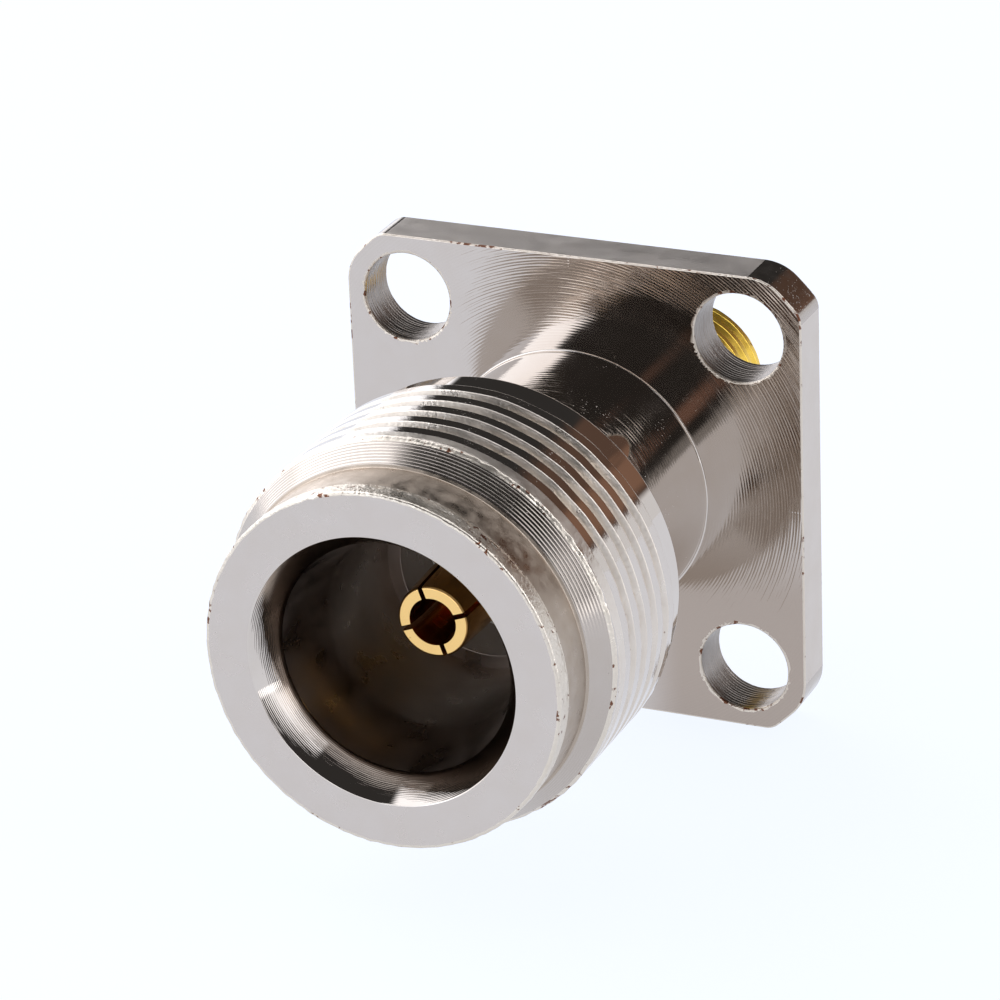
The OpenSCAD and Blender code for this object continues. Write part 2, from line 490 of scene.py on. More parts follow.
@dataclass(frozen=True)
class Plate:
    """Bright plating on machined brass.

    The plating is thin and follows the tool marks below it, so the surface is a mirror
    with fine parallel scratches and a few tiny specks. Where the plating is poor, at
    edges, brass and its tarnish show as brown spots.

    Lengths are in millimetres.
    """

    name: str
    colour: str = "#cdc5bd"
    tarnish: str = "#6f4a38"
    roughness: float = 0.10
    marks: Marks = Marks.RINGS
    mark_pitch: float = 0.12
    mark_depth: float = 0.0003  # of the uneven scratches
    ring_depth: float = 0.0  # of the even rings that the feed of the tool leaves
    lean: float = 1.0  # how the rings count along the axis: 1 with the radius, -1 against it
    mark_length: float = 3.0  # waves of change round the axis
    cloud_size: float = 1.2
    cloud_share: float = 0.3  # how much the roughness varies in clouds
    specks: float = 0.0  # 0 to 1, how many tiny rough specks there are
    speck_size: float = 0.06
    stain: float = 0.0  # 0 to 1, how much of the surface is tarnished
    stain_size: float = 0.35
    dents: float = 0.0  # height of hammered unevenness
    dent_size: float = 0.3
    dish: float = 0.0  # slope of a face that is turned slightly hollow
    calm_r: float = 0.0  # radius within which the tool marks almost fade
    growth_w: float = 6.5  # from there to the strongest marks
    growth: tuple[float, float] = (0.25, 3.8)  # how strong the marks are inside and outside
    corner_shade: tuple[float, float, float] = (1.0, 1.0, 1.0)  # painted shade: how much darker the lower right corner is drawn, for the shadowed table it mirrors

    def material(self) -> bpy.types.Material:
        """Makes the material.

        Returns:
            A material that reads Object coordinates only.
        """
        made = bpy.data.materials.new(self.name)
        bench = Bench(made)
        bench.fill(bench.tree.nodes["Principled BSDF"], {
            "Metallic": 1.0, "Roughness": self.haze(bench), "Base Color": self.tint(bench),
            "Normal": self.relief(bench)})
        return made

    @staticmethod
    def noise(bench: Bench, size: float, detail: float = 2.0) -> Socket:
        """Noise whose grains are about size millimetres wide."""
        return bench.add("TexNoise", {
            "Vector": bench.place, "Scale": 1.0 / (size * MM), "Detail": detail})

    @classmethod
    def spots(cls, bench: Bench, size: float, amount: float) -> Socket:
        """Mask of scattered spots: 1 where a fine noise plus half of a coarse one is highest.

        Args:
            bench: the material's nodes.
            size: width of a spot, in millimetres.
            amount: 0 to 1, how many there are.

        Returns:
            The mask, 0 to 1.
        """
        level = 1.05 - 0.2 * amount  # the sum seldom gets past this
        value = bench.add("Math", {
            0: cls.noise(bench, SPOT_GROUPS), 1: 0.5, 2: cls.noise(bench, size, 3.0)},
            operation="MULTIPLY_ADD")
        return bench.add("MapRange", {
            "Value": value, "From Min": level, "From Max": level + 0.05})

    def haze(self, bench: Bench) -> Socket:
        """Roughness: clouds of rougher and smoother, and rough specks.

        Args:
            bench: the material's nodes.

        Returns:
            The roughness.
        """
        spread = self.roughness * self.cloud_share
        rough = bench.add("MapRange", {
            "Value": self.noise(bench, self.cloud_size, 3.0), "From Min": NOISE_LOW,
            "From Max": NOISE_HIGH, "To Min": self.roughness - spread,
            "To Max": self.roughness + spread})
        if self.specks:
            rough = bench.add("Mix", {
                "Factor": self.spots(bench, self.speck_size, self.specks), "A": rough,
                "B": SPECK_HAZE})
        return rough

    def tint(self, bench: Bench) -> Socket:
        """Colour of the plating, a little uneven, with spots of tarnish, and painted shade that
        darkens the lower right corner when asked.

        Args:
            bench: the material's nodes.

        Returns:
            The colour.
        """
        base = np.array(linear(self.colour))
        layers = [(self.noise(bench, TINT_SIZE, 4.0), base * WARMTH)]
        # painted shade: the lower right corner is drawn darker, standing in for the shadowed table
        # that the plating mirrors there
        if min(self.corner_shade) < 1.0:
            layers.append((self.corner(bench), base * (*self.corner_shade, 1.0)))
        if self.stain:
            layers.append((self.spots(bench, self.stain_size, self.stain), linear(self.tarnish)))
        shade = tuple(base.tolist())
        for mask, colour in layers:
            shade = bench.add("Mix", {"Factor": mask, "A": shade, "B": tuple(map(float, colour))},
                              "Result", data_type="RGBA")
        return shade

    @staticmethod
    def corner(bench: Bench) -> Socket:
        """Mask of the lower right quarter, seen from the large jack, with soft borders, where
        painted shade darkens the plating.

        Args:
            bench: the material's nodes.

        Returns:
            The mask, 0 to 1.
        """
        mask = 1.0
        for axis, start, end in (("X", 2.0, 4.5), ("Z", 0.0, -4.0)):  # mm, each soft border
            part = bench.add("MapRange", {
                "Value": bench.add("SeparateXYZ", {0: bench.place}, axis),
                "From Min": start * MM, "From Max": end * MM}, interpolation_type="SMOOTHSTEP")
            mask = bench.add("Math", {0: part, 1: mask}, operation="MULTIPLY")
        return mask

    def relief(self, bench: Bench) -> Socket:
        """Tool marks, specks and dents, each times its depth and added up, as a bumped normal.

        Args:
            bench: the material's nodes.

        Returns:
            The normal.
        """
        lay = self.lay(bench)
        marks = bench.add("TexNoise", {
            "Vector": lay, "Scale": 1.0, "Detail": 2.0, "Roughness": 0.6})
        parts = [(marks, self.mark_depth * NOISE_SPAN)]
        if self.ring_depth:
            parts.append((self.rings(bench, lay, marks), self.ring_depth))
        if self.calm_r:
            growth = bench.add("MapRange", {
                "Value": self.from_axis(bench)[1], "From Min": self.calm_r * MM,
                "From Max": (self.calm_r + self.growth_w) * MM,
                "To Min": self.growth[0], "To Max": self.growth[1]})
            parts = [(bench.add("Math", {0: part, 1: growth}, operation="MULTIPLY"), depth)
                     for part, depth in parts]
        if self.dish:
            parts.append((self.from_axis(bench)[1], self.dish / MM))
        if self.specks:
            parts.append((self.spots(bench, self.speck_size, self.specks), SPECK_DEPTH))
        if self.dents:
            parts.append((self.noise(bench, self.dent_size), self.dents * NOISE_SPAN))
        height = 0.0
        for part, depth in parts:
            height = bench.add("Math", {0: part, 1: depth * MM, 2: height},
                               operation="MULTIPLY_ADD")
        return bench.add("Bump", {"Height": height, "Distance": 1.0})

    @staticmethod
    def from_axis(bench: Bench) -> tuple[Socket, Socket]:
        """The place with its Y taken out, and its distance from the Y axis, in metres."""
        flat = bench.add("VectorMath", {0: bench.place, 1: (1, 0, 1)}, operation="MULTIPLY")
        return flat, bench.add("VectorMath", {0: flat}, "Value", operation="LENGTH")

    @staticmethod
    def rings(bench: Bench, lay: Socket, marks: Socket) -> Socket:
        """Even rings: a sine of the ring count, which the scratches shift a little.

        Args:
            bench: the material's nodes.
            lay: coordinates that count the rings in Y.
            marks: the scratches.

        Returns:
            Height between -1 and 1.
        """
        count = bench.add("SeparateXYZ", {0: lay}, "Y")
        count = bench.add("Math", {0: marks, 1: RING_WANDER, 2: count}, operation="MULTIPLY_ADD")
        angle = bench.add("Math", {0: count, 1: TURN}, operation="MULTIPLY")
        return bench.add("Math", {0: angle}, operation="SINE")

    def lay(self, bench: Bench) -> Socket:
        """Coordinates stretched so that noise read from them becomes tool marks.

        For rings, x and z are divided by the distance from the axis, so that they only
        tell the direction, and the middle coordinate counts radius and station in marks.

        Args:
            bench: the material's nodes.

        Returns:
            The coordinates.
        """
        across = 1.0 / (self.mark_pitch * MM)
        if self.marks is not Marks.RINGS:
            long = across / STREAK
            scale = (long, across, long) if self.marks is Marks.BORED else (across, long, across)
            return bench.add("VectorMath", {0: bench.place, 1: scale}, operation="MULTIPLY")
        flat, radius = self.from_axis(bench)
        way = bench.add("VectorMath", {0: flat}, operation="NORMALIZE")
        slow = bench.add("VectorMath", {0: way, 1: (self.mark_length,) * 3}, operation="MULTIPLY")
        station = bench.add("SeparateXYZ", {0: bench.place}, "Y")
        count = bench.add("Math", {0: station, 1: self.lean, 2: radius}, operation="MULTIPLY_ADD")
        count = bench.add("Math", {0: count, 1: across}, operation="MULTIPLY")
        return bench.add("VectorMath", {0: slow, 1: bench.add("CombineXYZ", {"Y": count})})


@dataclass(frozen=True)
class Fluoropolymer:
    """PTFE, turned from rod: milky white, waxy, with faint lathe rings."""

    name: str
    colour: str = "#f1efe8"
    shadow: str = "#e2dfd6"
    cloud_size: float = 0.8
    ior: float = 1.35
    roughness: float = 0.42
    ring_pitch: float = 0.1
    ring_depth: float = 0.002

    def material(self) -> bpy.types.Material:
        """Makes the material: a white body that clouds a little, with rings of the lathe.

        Returns:
            A material that reads Object coordinates only.
        """
        made = bpy.data.materials.new(self.name)
        bench = Bench(made)
        rings = Plate(self.name, mark_pitch=self.ring_pitch, mark_depth=self.ring_depth)
        shade = bench.add("Mix", {
            "Factor": Plate.noise(bench, self.cloud_size, 3.0), "A": linear(self.colour),
            "B": linear(self.shadow)}, "Result", data_type="RGBA")
        bench.fill(bench.tree.nodes["Principled BSDF"], {
            "IOR": self.ior, "Roughness": self.roughness, "Base Color": shade,
            "Normal": rings.relief(bench)})
        return made


# ---------------------------------------------------------------- the adapter's pieces


@dataclass
class FlangedBody:
    """Large jack and flange, turned and milled from one bar and nickel-plated.

    Stations are given from the flange's back face, which is y = 0.
    """

    segments: int = 272
    flange_w: float = 19.2
    flange_t: float = 2.05
    bar_r: float = 12.601  # the corners keep this radius about the axis
    side_blend_r: float = 0.8  # blends each corner into the side on the x axis
    top_blend_r: float = 1.9  # blends each corner into the side on the z axis
    side_steps: int = 23  # points along each straight half side
    hole_pitch: float = 14.05
    hole_r: float = 1.84
    rim: float = 0.07  # softening of the holes' rims and the flange's edges
    rim_torn: tuple[float, float] = (1.5, 0.6)  # the holes' softening, in rims, and its spread
    face: float = -20.38
    nose_r: float = 7.13
    lip_len: float = 0.70
    lip_h: float = 0.03
    face_edge: float = 0.12
    cone_foot: float = -17.94
    cone_top: float = -16.95
    cone_rings: int = 9
    cone_torn: float = 0.82  # share of the cone after which the thread's start has torn it
    cone_ring_depth: float = 0.008
    cone_ring_shape: float = 0.7  # power of the sine: below 1, round tops and sharp valleys
    land: float = -11.45
    neck: float = -9.97
    neck_r: float = 5.575
    fillet: float = 0.08  # how far the neck widens at each end
    mouth_r: float = 5.38
    mouth_lip: float = 0.04  # width of the softened rim between the mouth and the face
    mouth_curve: float = 6.2  # radius of the mouth's arc
    mouth_turn: float = math.radians(25)  # where the polished flare meets the dark throat
    socket_r: float = 4.06
    shoulder: float = -11.02
    line_r: float = 3.5
    bead: float = -8.62
    bead_r: float = 4.22
    seat: float = -1.0
    seat_r: float = 4.77
    burrs: tuple[Burr, ...] = (
        Burr(station=-20.36, reach=0.10, height=0.014, seed=21),
        Burr(station=-19.68, reach=0.10, height=0.016, seed=22),
        Burr(station=-16.97, reach=0.10, height=0.020, seed=23),
        Burr(station=-11.45, reach=0.06, height=0.008, seed=24),
    )
    thread: Thread = field(default_factory=lambda: Thread(
        crest_r=7.9375, pitch=1.058, depth=0.35, groove_w=0.50, root_w=0.10, edge=0.045,
        front=-16.95, back=-11.45, middle=-12.285, run_in=(-16.5, -16.15), tear=0.028))

    class Finish(IntEnum):
        """The body's material slots, in their order."""

        FACE = 0
        BURR = 1
        NOSE = 2
        CONE = 3
        THREAD = 4
        NECK = 5
        FLANGE = 6
        EDGE = 7
        HOLE = 8
        MOUTH = 9
        BORE = 10
        GROOVE = 11
        RIM = 12
        CORNER = 13

    def materials(self) -> list[bpy.types.Material]:
        """Makes the body's finishes.

        Returns:
            Materials in the order of Finish.
        """
        plates = [
            # faced with a sharp tool: a quiet satin ring
            Plate("nickel_faced", colour="#cac2bb", roughness=0.24, mark_depth=0.0001),
            # beaten and torn, with brass showing: a rough cream line with brown spots
            Plate("nickel_burr", colour="#d8cfc2", roughness=0.34, dents=0.008, dent_size=0.16,
                  stain=0.75, stain_size=0.25),
            # plain turned band, rubbed dull: darker than the rest
            Plate("nickel_nose", colour="#ada092", roughness=0.38, cloud_share=0.4,
                  cloud_size=0.6, dents=0.001),
            # turned at a coarse feed: fine rings across a satin cone
            Plate("nickel_ringed_cone", colour="#b9b0a7", roughness=0.20, mark_pitch=0.07,
                  mark_depth=0.0002, specks=0.2, mark_length=6.0),
            # crests with little wear: small mirrors that waver
            Plate("nickel_thread", roughness=0.06, mark_pitch=0.06, dents=0.0008,
                  dent_size=0.22, specks=0.2),
            # polished: a clear mirror of the flange and the table
            Plate("nickel_neck", roughness=0.035, mark_depth=0.00005, specks=0.2,
                  speck_size=0.08),
            # turned from the middle outwards: a mirror whose rings grow towards the corners, and
            # whose lower right corner is drawn darker as a painted reflection of the shadowed
            # table under the jack
            Plate("nickel_turned_flange", colour="#cac2bb", roughness=0.08, mark_pitch=0.12,
                  mark_depth=0.0008, ring_depth=0.0007, dish=0.03, calm_r=6.2,
                  corner_shade=(0.70, 0.64, 0.58)),
            # side-milled: an even satin with faint lines along the axis
            Plate("nickel_milled_edge", roughness=0.40, marks=Marks.ACROSS,
                  mark_pitch=0.09, mark_depth=0.0004, cloud_share=0.1, dents=0.001,
                  dent_size=0.12),
            # drilled: dark grey rings, drawn coarser than a drill's so that they show
            Plate("nickel_drilled_hole", colour="#968e87", roughness=0.34, marks=Marks.BORED,
                  mark_pitch=0.17, mark_depth=0.009, ring_depth=0.006),
            # bored with a round tool: a bright mirror with thin rings
            Plate("nickel_mouth", roughness=0.045, mark_pitch=0.10, mark_depth=0.0002,
                  ring_depth=0.0006, lean=-1.0),
            # thin plating deep inside: dull and dark
            Plate("nickel_bore", colour="#8f837a", roughness=0.34, mark_pitch=0.09,
                  mark_depth=0.0006),
            # the tool's rough floor and flanks: pale and dull between the bright crests
            Plate("nickel_in_the_groove", colour="#d8cfc4", roughness=0.36, mark_pitch=0.06,
                  dents=0.004, dent_size=0.15, stain=0.2),
            # deburred by hand: a ragged cream line with the most brown
            Plate("nickel_rim", colour="#d4cabd", roughness=0.38, dents=0.007, dent_size=0.16,
                  stain=1.0, stain_size=0.3),
            # turned corners, handled most: scuffed between satin and bright
            Plate("nickel_turned_corner", colour="#b5aca3", roughness=0.16, cloud_share=0.4,
                  cloud_size=0.4, specks=0.4, speck_size=0.1, dents=0.0006, dent_size=0.12),
        ]
        return [plate.material() for plate in plates]

    def build(self) -> bpy.types.Object:
        """Makes the body's surfaces and welds them.

        Returns:
            The body, with a true helical thread in place of the frame's ring grooves.
        """
        shell = Shell()
        self.add_nose(shell)
        self.add_thread(shell)
        self.add_neck(shell)
        self.add_flange(shell)
        self.add_inside(shell)
        return shell.build("large_jack_and_flange", self.materials())

    def add_nose(self, shell: Shell) -> None:
        """Mating face, beaten lip, smooth nose and ringed lead-in cone.

        The cone's rings stand out along its normal by a power of the sine of their count.

        Args:
            shell: where they go.
        """
        f = self.Finish
        smooth_r = self.nose_r - self.lip_h
        lip_end = self.face + self.lip_len
        mouth_r = self.mouth_r + self.mouth_lip
        rim_r = self.nose_r - self.face_edge - GUARD
        face = np.array([(r, self.face) for r in (
            mouth_r, mouth_r + GUARD, rim_r - 0.3, rim_r - 0.15, rim_r)])
        shell.add(self.worn(turned(face, self.segments)), f.FACE)
        band_start, band_end, nose_start = self.face + 0.2, lip_end - 0.1, lip_end + 0.15
        rim = softened([(rim_r, self.face, 0), (self.nose_r, self.face, self.face_edge),
                        (self.nose_r, band_start, 0)])
        across = np.linspace(band_start, band_end, 7)[1:]
        lip = softened([(self.nose_r, band_end, 0), (self.nose_r, lip_end, 0.04),
                        (smooth_r, lip_end + 0.06, 0.02), (smooth_r, nose_start, 0)])
        flat = np.stack([np.full_like(across, self.nose_r), across], axis=-1)
        band = np.concatenate([rim, flat, lip[1:]])
        shell.add(self.worn(turned(band, self.segments)), f.BURR)
        start = np.array([smooth_r + 0.1, self.cone_foot + 0.06])
        nose = softened([(smooth_r, nose_start, 0), (smooth_r, self.cone_foot, 0.05), (*start, 0)])
        shell.add(self.worn(turned(nose, self.segments)), f.NOSE)
        end = np.array([self.thread.crest_r, self.cone_top])
        share = np.linspace(0.0, 1.0, self.cone_rings * 6 + 1)
        ring = np.abs(np.sin(share * math.pi * self.cone_rings)) ** self.cone_ring_shape
        rows = start + (end - start) * share[:, None]
        way = (end - start) / np.linalg.norm(end - start)
        rows += self.cone_ring_depth * ring[:, None] * np.array([way[1], -way[0]])
        finish = np.where(share[1:] > self.cone_torn, f.BURR, f.CONE)
        shell.add(self.worn(turned(rows, self.segments)), finish)

    def worn(self, grid: np.ndarray) -> np.ndarray:
        """Gives a grid of the outside its burrs.

        Args:
            grid: points, with x, y and z last.

        Returns:
            Grid of the same shape.
        """
        for burr in self.burrs:
            grid = burr.push(grid)
        return grid

    def add_thread(self, shell: Shell) -> None:
        """Helical thread and the land behind it.

        Args:
            shell: where they go.
        """
        f = self.Finish
        root_r = self.thread.crest_r - self.thread.depth
        finish = np.where(self.thread.grooved(), f.GROOVE, f.THREAD)
        shell.add(self.worn(self.thread.surface(self.segments, seed=3)), finish)
        shell.add(self.worn(self.thread.end(self.land, root_r, self.segments)), f.GROOVE)
        land = softened([(root_r, self.land, 0), (root_r, self.neck, 0.08),
                         (self.neck_r + self.fillet, self.neck, 0)])
        shell.add(self.worn(turned(land, self.segments)), f.NECK)

    def add_neck(self, shell: Shell) -> None:
        """Neck between the jack's back and the flange, widening a little at each end.

        Args:
            shell: where it goes.
        """
        front = -self.flange_t
        neck = softened([
            (self.neck_r + self.fillet, self.neck, 0), (self.neck_r, self.neck, 0.08),
            (self.neck_r, front, self.fillet - 0.01), (self.neck_r + self.fillet, front, 0)])
        shell.add(turned(neck, self.segments), self.Finish.NECK)

    def outline(self, inset: float) -> np.ndarray:
        """A quarter of the flange's outline, from the x axis to the z axis.

        Args:
            inset: how far inside the true outline it runs.

        Returns:
            Rows of (x, z).
        """
        half, bar = self.flange_w / 2 - inset, self.bar_r - inset
        blends = []
        for blend_r in (self.side_blend_r, self.top_blend_r):
            near = self.flange_w / 2 - blend_r
            blends.append((near, math.sqrt((self.bar_r - blend_r) ** 2 - near**2)))
        (side_x, side_z), (top_z, top_x) = blends
        low, high = math.atan2(side_z, side_x), math.atan2(top_z, top_x)
        first = np.linspace(0.0, low, 9)[:-1, None]
        turn = np.linspace(low, high, 5)[:, None]
        last = np.linspace(high, QUARTER, 12)[1:, None]
        up = np.linspace(0.0, side_z, self.side_steps)[:-1]
        left = np.linspace(top_x, 0.0, self.side_steps)[1:]
        return np.concatenate([
            np.stack([np.full_like(up, half), up], axis=-1),
            (side_x, side_z) + (self.side_blend_r - inset) * self.way(first),  # its blend
            bar * self.way(turn),  # what is left of the bar
            (top_x, top_z) + (self.top_blend_r - inset) * self.way(last),
            np.stack([left, np.full_like(left, half)], axis=-1)])

    @staticmethod
    def way(angle: np.ndarray) -> np.ndarray:
        """Unit vectors (x, z) at the angles of a column."""
        return np.concatenate([np.cos(angle), np.sin(angle)], axis=-1)

    def quarter(self, inner_r: float) -> np.ndarray:
        """Closed border of one quarter of the flange's face, round its screw hole.

        Args:
            inner_r: radius of the face's inner edge.

        Returns:
            Rows of (x, z).
        """
        edge = self.outline(self.rim)
        axis = np.linspace(inner_r, edge[0, 0], 7)[:-1]
        zero = np.zeros_like(axis)
        arc = np.linspace(QUARTER, 0.0, self.segments // 4 + 1)[:, None]
        return np.concatenate([
            np.stack([axis, zero], axis=-1), edge, np.stack([zero, axis], axis=-1)[:0:-1],
            inner_r * self.way(arc)])

    def add_flange(self, shell: Shell) -> None:
        """Both faces, the edge all round and the walls of the four screw holes.

        Each quarter of a face is ruled between the screw hole's circle and the quarter's
        border. Walls carry a section with softened rims along the outline or the circle,
        and the holes' rims are wider than the outline's and torn.

        Args:
            shell: where they go.
        """
        f = self.Finish
        centre = np.full(2, self.hole_pitch / 2)
        front_border = self.quarter(self.neck_r + self.fillet)
        back_border = self.quarter(self.seat_r + self.rim)
        toward = front_border - centre
        toward /= np.linalg.norm(toward, axis=1, keepdims=True)
        around = np.arctan2(toward[:, 1], toward[:, 0])
        share = np.array([0.0, 0.008, 0.5, 0.992, 1.0])[:, None, None]
        wall = softened([(1.0, -self.flange_t, 0), (0.0, -self.flange_t, self.rim),
                         (0.0, 0.0, self.rim), (1.0, 0.0, 0)])
        wall = wall[np.abs(wall[:, 0]) <= self.rim + 1e-9]
        outset, station = wall[:, 0], wall[:, 1:]
        torn = self.rim_torn[0] + self.rim_torn[1] * lumps(around, 0.0, seed=31)[:, None]
        circle = centre + (self.hole_r + outset[:, None, None] * torn) * toward
        rim_circle = centre + (self.hole_r + self.rim * torn) * toward
        outline = np.stack([self.outline(inset) for inset in outset])
        worn = (outset[:-1] > 0) | (outset[1:] > 0)
        side = self.side_steps
        walls = [(circle, slice(None), f.HOLE), (outline, slice(side), f.EDGE),
                 (outline, slice(side - 1, 1 - side), f.CORNER),
                 (outline, slice(-side, None), f.EDGE)]
        spin = np.array([[0, 1], [-1, 0]])
        for quarter in range(4):
            turn = np.linalg.matrix_power(spin, quarter)
            for border, y in ((front_border, -self.flange_t), (back_border, 0.0)):
                face = (rim_circle + (border - rim_circle) * share) @ turn
                shell.add(self.at_station(face, y), f.FLANGE)
            for rows, part, finish in walls:
                shell.add(self.at_station((rows @ turn)[:, part], station),
                          np.where(worn, f.RIM, finish))

    @staticmethod
    def at_station(flat: np.ndarray, station: np.ndarray | float) -> np.ndarray:
        """Places a grid of (x, z) points at one station, or at the stations of its rows."""
        y = np.broadcast_to(station, flat.shape[:2])
        return np.stack([flat[..., 0], y, flat[..., 1]], axis=-1)

    def add_inside(self, shell: Shell) -> None:
        """From the seat in the back face, through the bores, to the flared mouth.

        The mouth is an arc of radius mouth_curve whose circle touches the socket's wall. Its
        first stretch, up to mouth_turn, is cut straight: that is the dark throat.

        Args:
            shell: where they go.
        """
        f = self.Finish
        bores = softened([
            (self.seat_r + self.rim, 0, 0), (self.seat_r, 0, self.rim - 0.001),
            (self.seat_r, self.seat, 0), (self.bead_r, self.seat, 0), (self.bead_r, self.bead, 0),
            (self.line_r, self.bead, 0), (self.line_r, self.shoulder, 0.04),
            (self.socket_r, self.shoulder, 0), (self.socket_r, self.shoulder - 0.3, 0)])
        shell.add(turned(bores, self.segments), f.BORE)
        drop = self.mouth_curve - (self.mouth_r - self.socket_r)
        flare = math.sqrt(self.mouth_curve**2 - drop**2)
        socket = np.linspace(self.shoulder - 0.3, self.face + flare, 12)
        rows = np.stack([np.full_like(socket, self.socket_r), socket], axis=-1)
        shell.add(turned(rows, self.segments), f.BORE)
        swing = np.linspace(self.mouth_turn, math.asin(flare / self.mouth_curve), 15)
        curve = np.stack([self.socket_r + self.mouth_curve * (1 - np.cos(swing)),
                          self.face + flare - self.mouth_curve * np.sin(swing)], axis=-1)
        throat = softened([(*rows[-1], 0), (*curve[0], 0.12), (*curve[1], 0)])
        shell.add(turned(throat[:3], self.segments), f.BORE)
        lip = softened([(*curve[-2], 0), (*curve[-1], 0.03),
                        (curve[-1, 0] + self.mouth_lip, self.face, 0)])
        flared = np.concatenate([throat[2:-1], curve[2:-2], lip])
        shell.add(turned(flared, self.segments), f.MOUTH)


@dataclass
class RearJack:
    """Small gold-plated jack behind the flange, with its own helical thread."""

    segments: int = 192
    front: float = -5.62
    plug_r: float = 4.20
    seat: float = -1.0
    collar_r: float = 4.75
    collar: float = 0.8
    shank_r: float = 3.8
    undercut: float = 4.65
    undercut_r: float = 2.7
    end: float = 10.75
    recess_r: float = 2.31
    recess: float = 8.82
    bore_r: float = 2.08
    thread: Thread = field(default_factory=lambda: Thread(
        crest_r=3.175, pitch=0.7056, depth=0.22, groove_w=0.40, root_w=0.08, edge=0.03,
        front=5.45, back=10.5, middle=9.9, run_in=(3.0, 3.1), tear=0.01))

    def build(self) -> bpy.types.Object:
        """Makes the small jack.

        Returns:
            A closed turned piece.
        """
        shell = Shell()
        root_r = self.thread.crest_r - self.thread.depth
        outside = softened([
            (self.bore_r, self.front, 0), (self.plug_r, self.front, 0.05),
            (self.plug_r, self.seat, 0), (self.collar_r, self.seat, 0.03),
            (self.collar_r, self.collar, 0.12), (self.shank_r, self.collar, 0.05),
            (self.shank_r, self.undercut, 0.15), (self.undercut_r, self.undercut, 0.06),
            (self.undercut_r, self.thread.front, 0.06), (root_r, self.thread.front, 0)])
        shell.add(turned(outside, self.segments), 0)
        shell.add(self.thread.end(self.thread.front, root_r, self.segments), 0)
        shell.add(self.thread.surface(self.segments, seed=11), 0)
        shell.add(self.thread.end(self.thread.back, root_r, self.segments), 0)
        inside = softened([
            (root_r, self.thread.back, 0), (root_r - 0.04, self.end, 0.05),
            (self.recess_r, self.end, 0.05), (self.recess_r, self.recess, 0),
            (self.bore_r, self.recess, 0), (self.bore_r, self.front, 0)])
        shell.add(turned(inside, self.segments), 0)
        # thick plating over fine rings: deep yellow with brown specks
        finish = Plate("gold_plated_jack", colour="#f1ca58", tarnish="#8a5a1e", roughness=0.3,
                       mark_pitch=0.08, mark_depth=0.0008, specks=0.2, stain=0.3)
        return shell.build("small_rear_jack", [finish.material()])


